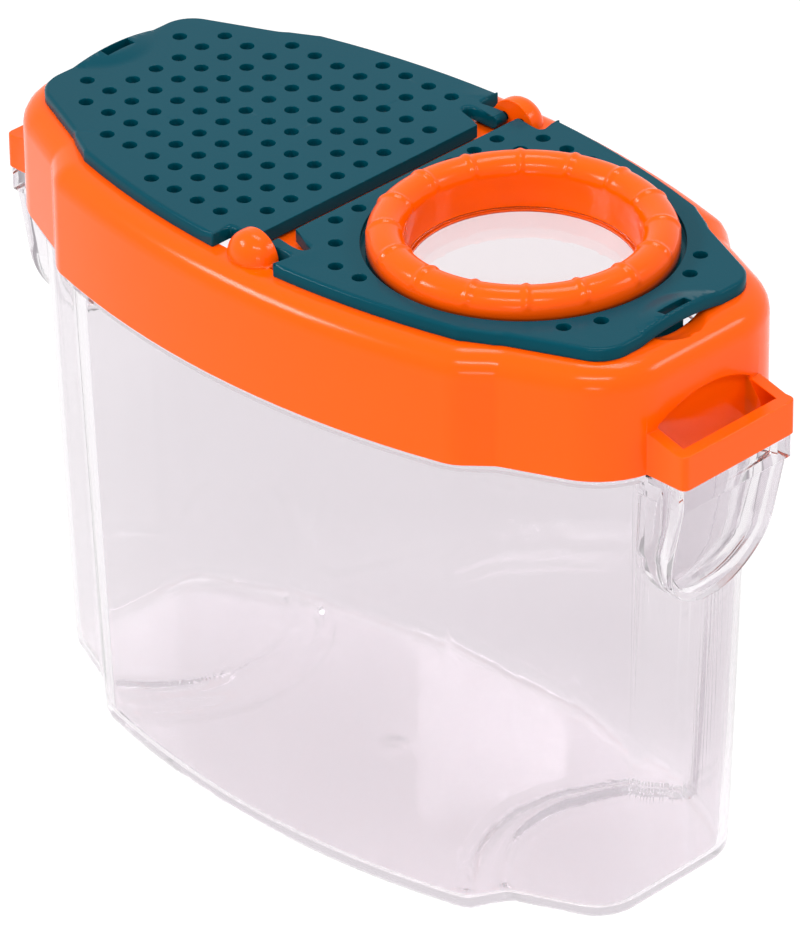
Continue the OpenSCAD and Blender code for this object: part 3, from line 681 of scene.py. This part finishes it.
def lift_edge(bm, side, tab):
    """Raises the bevel along a flap's end with the dome behind it, so that the end is one smooth lip."""
    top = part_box("lens_flap")[1][2] - dome_height(tab, tab.reach + tab.rim)
    middle = side * (flap_end + tab.reach)
    half = math.sqrt(2 * tab.dome * tab.height - tab.reach ** 2)
    for i in range(tab.cuts + 1):
        y = half * (2 * i / tab.cuts - 1)
        end = [f for f in bm.faces if side * f.calc_center_median().x > flap_end - CUT_REACH * tab.rim]
        edges = dict.fromkeys(e for f in end for e in f.edges)
        corners = dict.fromkeys(v for f in end for v in f.verts)
        bmesh.ops.bisect_plane(bm, geom=[*end, *edges, *corners], plane_co=(0, y, 0), plane_no=(0, 1, 0),
                               dist=JOIN)
    for v in bm.verts:
        rise = dome_height(tab, math.hypot(v.co.x - middle, v.co.y))
        at_end = side * v.co.x > flap_end - tab.rim - SLACK
        on_bevel = top - tab.rim * BEVEL_REACH < v.co.z < top + SLACK
        if at_end and on_bevel and rise > 0:
            v.co.z += rise
    bmesh.ops.remove_doubles(bm, verts=bm.verts, dist=SLACK)
    bmesh.ops.dissolve_degenerate(bm, edges=bm.edges, dist=SPECK)


class BUGJAR_OT_flaps(bpy.types.Operator):
    """Make the two teal flaps with their lifted finger tabs"""
    bl_idname = "bugjar.flaps"
    bl_label = "Make the flaps"

    def execute(self, context):
        look = context.scene.jar_finish
        for node, name, body, side in (("vent_flap", "teal_vent_flap", "vent_door", -1),
                                       ("lens_flap", "teal_lens_flap", "lens_door", 1)):
            bm = merged(node)
            lift_edge(bm, side, context.scene.jar_tab)
            flap = piece_from(bm, name, material(look, "Teal plastic"))
            round_edges(flap, look.hole_edge)
            dress(flap, node, body)
        return {"FINISHED"}


# The magnifier

def lathe(profile, middle, steps):
    """A closed outline of radius and height, turned about the upright line through middle."""
    bm = bmesh.new()
    rows = []
    for i in range(steps):
        turn = 2 * math.pi * i / steps
        rows.append([bm.verts.new((middle.x + r * math.cos(turn), middle.y + r * math.sin(turn), z))
                     for r, z in profile])
    skin_between(bm, rows + rows[:1])
    bmesh.ops.recalc_face_normals(bm, faces=bm.faces)
    return bm


def ring_profile(shape):
    """The bezel's section: over the grip, down the bore to the lens shelf and up the neck with its lip."""
    flap_top = ring_high.z - shape.rise - shape.tube - CAD_NUB
    foot, shelf_top = ring_low.z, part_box("lens")[0][2]
    bore, outside, neck = shape.ring - shape.tube, shape.ring + shape.tube, shape.ring + shape.neck
    lip_low = foot + shape.neck_drop
    lip_high = lip_low + shape.lip_height
    over = [(shape.ring + shape.tube * math.cos(t), flap_top + shape.rise + shape.tube * math.sin(t))
            for t in (math.pi * i / shape.arc_steps for i in range(shape.arc_steps + 1))]
    return flap_top, over + [
        (bore, shelf_top), (bore - shape.shelf, shelf_top), (bore - shape.shelf, foot), (neck, foot),
        (neck, lip_low), (neck + shape.lip, lip_low), (neck + shape.lip, lip_high), (neck, lip_high),
        (neck, flap_top - shape.sunk), (outside, flap_top - shape.sunk)]


class NodeChain:
    """Adds nodes to a geometry tree and joins them, so that a rule reads from top to bottom."""

    def __init__(self, tree):
        self.tree = tree

    def add(self, kind, *inputs, **settings):
        """Adds a node with its inputs in order and its settings by name, and gives its first output."""
        node = self.tree.nodes.new(kind)
        for key, value in settings.items():
            setattr(node, key, value)
        for i, value in enumerate(inputs):
            if isinstance(value, bpy.types.NodeSocket):
                self.tree.links.new(value, node.inputs[i])
            elif value is not None:
                node.inputs[i].default_value = value
        return node.outputs[0]

    def math(self, operation, a, b=None):
        """A Math node on one or two values."""
        return self.add("ShaderNodeMath", a, b, operation=operation)

    def ease(self, value, low, high, at_low, at_high):
        """A smooth step from at_low to at_high between low and high."""
        return self.add("ShaderNodeMapRange", value, low, high, at_low, at_high,
                        interpolation_type="SMOOTHSTEP")


def nub_tree():
    """Geometry Nodes: raises evenly spaced low nubs across the top of a ring."""
    tree = bpy.data.node_groups.new("Soft grip nubs", "GeometryNodeTree")
    tree.is_modifier = True
    socket(tree, "Ring", "NodeSocketGeometry", "INPUT")
    socket(tree, "Middle", "NodeSocketVector", "INPUT")
    socket(tree, "Nubs", "NodeSocketInt", "INPUT")
    socket(tree, "Height", "NodeSocketFloat", "INPUT")
    socket(tree, "Width", "NodeSocketFloat", "INPUT")
    socket(tree, "Radius", "NodeSocketFloat", "INPUT")
    socket(tree, "Flap top", "NodeSocketFloat", "INPUT")
    socket(tree, "Material", "NodeSocketMaterial", "INPUT")
    socket(tree, "Ring", "NodeSocketGeometry", "OUTPUT")
    given = tree.nodes.new("NodeGroupInput")
    result = tree.nodes.new("NodeGroupOutput")
    chain = NodeChain(tree)
    place = chain.add("GeometryNodeInputPosition")
    normal = chain.add("GeometryNodeInputNormal")
    away = chain.add("ShaderNodeVectorMath", place, given.outputs["Middle"], operation="SUBTRACT")
    split = chain.add("ShaderNodeSeparateXYZ", away).node
    turn = chain.math("ARCTAN2", split.outputs["Y"], split.outputs["X"])
    pitch = chain.math("DIVIDE", 2 * math.pi, given.outputs["Nubs"])
    share = chain.math("FRACT", chain.math("ADD", chain.math("DIVIDE", turn, pitch), 0.5))
    off = chain.math("ABSOLUTE", chain.math("SUBTRACT", share, 0.5))
    along = chain.math("MULTIPLY", chain.math("MULTIPLY", off, pitch), given.outputs["Radius"])
    across = chain.ease(along, 0.0, chain.math("MULTIPLY", given.outputs["Width"], 0.5), 1.0, 0.0)
    upward = chain.add("ShaderNodeSeparateXYZ", normal).node.outputs["Z"]
    over = chain.ease(upward, *NUB_FADE, 0.0, 1.0)
    height = chain.add("ShaderNodeSeparateXYZ", place).node.outputs["Z"]
    shown = chain.math("MULTIPLY", over, chain.math("GREATER_THAN", height, given.outputs["Flap top"]))
    amount = chain.math("MULTIPLY", chain.math("MULTIPLY", across, shown), given.outputs["Height"])
    scale = chain.add("ShaderNodeVectorMath", normal, operation="SCALE").node
    tree.links.new(amount, scale.inputs["Scale"])
    moved = chain.add("GeometryNodeSetPosition", given.outputs["Ring"], None, None, scale.outputs[0])
    smooth = chain.add("GeometryNodeSetShadeSmooth", moved)
    real = chain.add("GeometryNodeRealizeInstances", smooth)
    finished = chain.add("GeometryNodeSetMaterial", real, None, given.outputs["Material"])
    tree.links.new(finished, result.inputs["Ring"])
    return tree


def run_tree(piece, tree, values):
    """Runs a geometry tree on a piece with its inputs set by name, and keeps the result as the mesh."""
    modifier = piece.modifiers.new(tree.name, "NODES")
    modifier.node_group = tree
    for item in tree.interface.items_tree:
        if item.in_out == "INPUT" and item.name in values:
            modifier[item.identifier] = values[item.name]
    bake_modifiers(piece)


class BUGJAR_OT_bezel(bpy.types.Operator):
    """Make the magnifier's ring with its soft grip nubs, and the lens"""
    bl_idname = "bugjar.bezel"
    bl_label = "Make the magnifier"

    def execute(self, context):
        look = context.scene.jar_finish
        orange = material(look, "Orange plastic")
        shape = context.scene.jar_bezel
        flap_top, profile = ring_profile(shape)
        bezel = piece_from(lathe(profile, lens_middle, shape.steps), "orange_bezel", orange)
        run_tree(bezel, nub_tree(), {
            "Middle": lens_middle, "Nubs": shape.nubs, "Height": shape.nub_height, "Width": shape.nub_width,
            "Radius": shape.ring, "Flap top": flap_top, "Material": orange})
        flat_faces_first(bezel)
        dress(bezel, "bezel", "magnifier")
        lens = piece_from(merged("lens"), "clear_lens", material(look, "Lens plastic"))
        round_edges(lens, look.edge_round)
        dress(lens, "lens", "magnifier")
        return {"FINISHED"}


# The stage

def softbox(name, place, width, height, watts):
    """A flat lamp, turned towards the jar."""
    data = bpy.data.lights.new(name, "AREA")
    data.shape = "RECTANGLE"
    data.size = width
    data.size_y = height
    data.energy = watts
    lamp = bpy.data.objects.new(name, data)
    bpy.context.scene.collection.objects.link(lamp)
    lamp.location = place
    lamp.rotation_euler = (Vector(LAMP_AIM) - Vector(place)).to_track_quat("-Z", "Y").to_euler()


def seen_path(tree):
    """1 for rays that show the background: straight from the camera, off a gloss or through clear plastic."""
    path = tree.nodes.new("ShaderNodeLightPath")
    seen = math_node(tree, "MAXIMUM", path.outputs["Is Camera Ray"], path.outputs["Is Transmission Ray"])
    return math_node(tree, "MAXIMUM", seen, path.outputs["Is Glossy Ray"])


def pale_floor(setup):
    """The floor's material: pale, with the jar's shadow on it, and part plain white where it is seen."""
    mat, shader = new_material("Pale floor")
    tree = mat.node_tree
    shader.inputs["Base Color"].default_value = (*setup.floor_colour, 1.0)
    shader.inputs["Roughness"].default_value = FLOOR_ROUGHNESS
    shader.inputs["Specular IOR Level"].default_value = 0.0
    glow = tree.nodes.new("ShaderNodeEmission")
    glow.inputs["Color"].default_value = WHITE
    show_mix(tree, math_node(tree, "MULTIPLY", seen_path(tree), setup.floor_glow), shader, glow)
    return mat


def lay_floor(setup):
    """The floor, just under the jar's foot."""
    reach, z = setup.floor_reach, -setup.floor_gap
    mesh = bpy.data.meshes.new("floor")
    mesh.from_pydata([(-reach, -reach, z), (reach, -reach, z), (reach, reach, z), (-reach, reach, z)], [],
                     [(0, 1, 2, 3)])
    mesh.materials.append(pale_floor(setup))
    floor = bpy.data.objects.new("floor", mesh)
    bpy.context.scene.collection.objects.link(floor)


def light_room(setup):
    """Even light from all round, which is plain white where it is seen."""
    world = bpy.data.worlds.new("White room")
    bpy.context.scene.world = world
    world.use_nodes = True
    tree = world.node_tree
    tree.nodes.clear()
    out = tree.nodes.new("ShaderNodeOutputWorld")
    back = tree.nodes.new("ShaderNodeBackground")
    strength = tree.nodes.new("ShaderNodeMix")
    tree.links.new(seen_path(tree), strength.inputs["Factor"])
    strength.inputs["A"].default_value = setup.sky
    strength.inputs["B"].default_value = 1.0
    tree.links.new(strength.outputs["Result"], back.inputs["Strength"])
    back.inputs["Color"].default_value = WHITE
    tree.links.new(back.outputs[0], out.inputs["Surface"])


def place_camera(setup):
    """The camera, where the photograph was taken from and with its framing."""
    data = bpy.data.cameras.new("photo camera")
    data.sensor_width = SENSOR_WIDTH
    data.lens = setup.focal_pixels * SENSOR_WIDTH / PHOTO_LONG_SIDE
    data.clip_end = CAMERA_REACH
    camera = bpy.data.objects.new("photo camera", data)
    bpy.context.scene.collection.objects.link(camera)
    camera.location = setup.camera_place
    camera.rotation_euler = Euler(setup.camera_turn)
    bpy.context.scene.camera = camera


class BUGJAR_OT_stage(bpy.types.Operator):
    """Set the pale floor, the soft lights and the camera"""
    bl_idname = "bugjar.stage"
    bl_label = "Set the stage"

    def execute(self, context):
        setup = context.scene.jar_stage
        lay_floor(setup)
        for name, place, width, height in LAMPS:
            softbox(name, place, width, height, getattr(setup, name + "_power"))
        light_room(setup)
        place_camera(setup)
        context.scene.view_settings.view_transform = "Standard"
        return {"FINISHED"}


# The panel, and the lists of what is registered

class BUGJAR_PT_panel(bpy.types.Panel):
    """Sizes, colours and steps of the bug catcher jar"""
    bl_idname = "BUGJAR_PT_panel"
    bl_label = "Bug Catcher Jar"
    bl_space_type = "VIEW_3D"
    bl_region_type = "UI"
    bl_category = "Bug Jar"

    def draw(self, context):
        column = self.layout.column()
        scene = context.scene
        for settings in (getattr(scene, name) for name in SETTINGS):
            for key in settings.bl_rna.properties.keys():
                if key not in ("rna_type", "name"):
                    column.prop(settings, key)
        for step in STEPS:
            column.operator(step.bl_idname)


STEPS = (BUGJAR_OT_jar, BUGJAR_OT_lid, BUGJAR_OT_flaps, BUGJAR_OT_bezel, BUGJAR_OT_stage)
SETTINGS = {"jar_finish": JarFinish, "jar_shape": JarShape, "jar_bezel": BezelShape, "jar_tab": TabShape,
            "jar_stage": StageSetup}
CLASSES = (*SETTINGS.values(), *STEPS, BUGJAR_PT_panel)


def register():
    for cls in CLASSES:
        bpy.utils.register_class(cls)
    for name, kind in SETTINGS.items():
        setattr(bpy.types.Scene, name, PointerProperty(type=kind))


def unregister():
    for name in SETTINGS:
        delattr(bpy.types.Scene, name)
    for cls in reversed(CLASSES):
        bpy.utils.unregister_class(cls)


def main():
    register()
    bpy.ops.bugjar.jar()
    bpy.ops.bugjar.lid()
    bpy.ops.bugjar.flaps()
    bpy.ops.bugjar.bezel()
    bpy.ops.bugjar.stage()


if __name__ == "__main__":
    main()
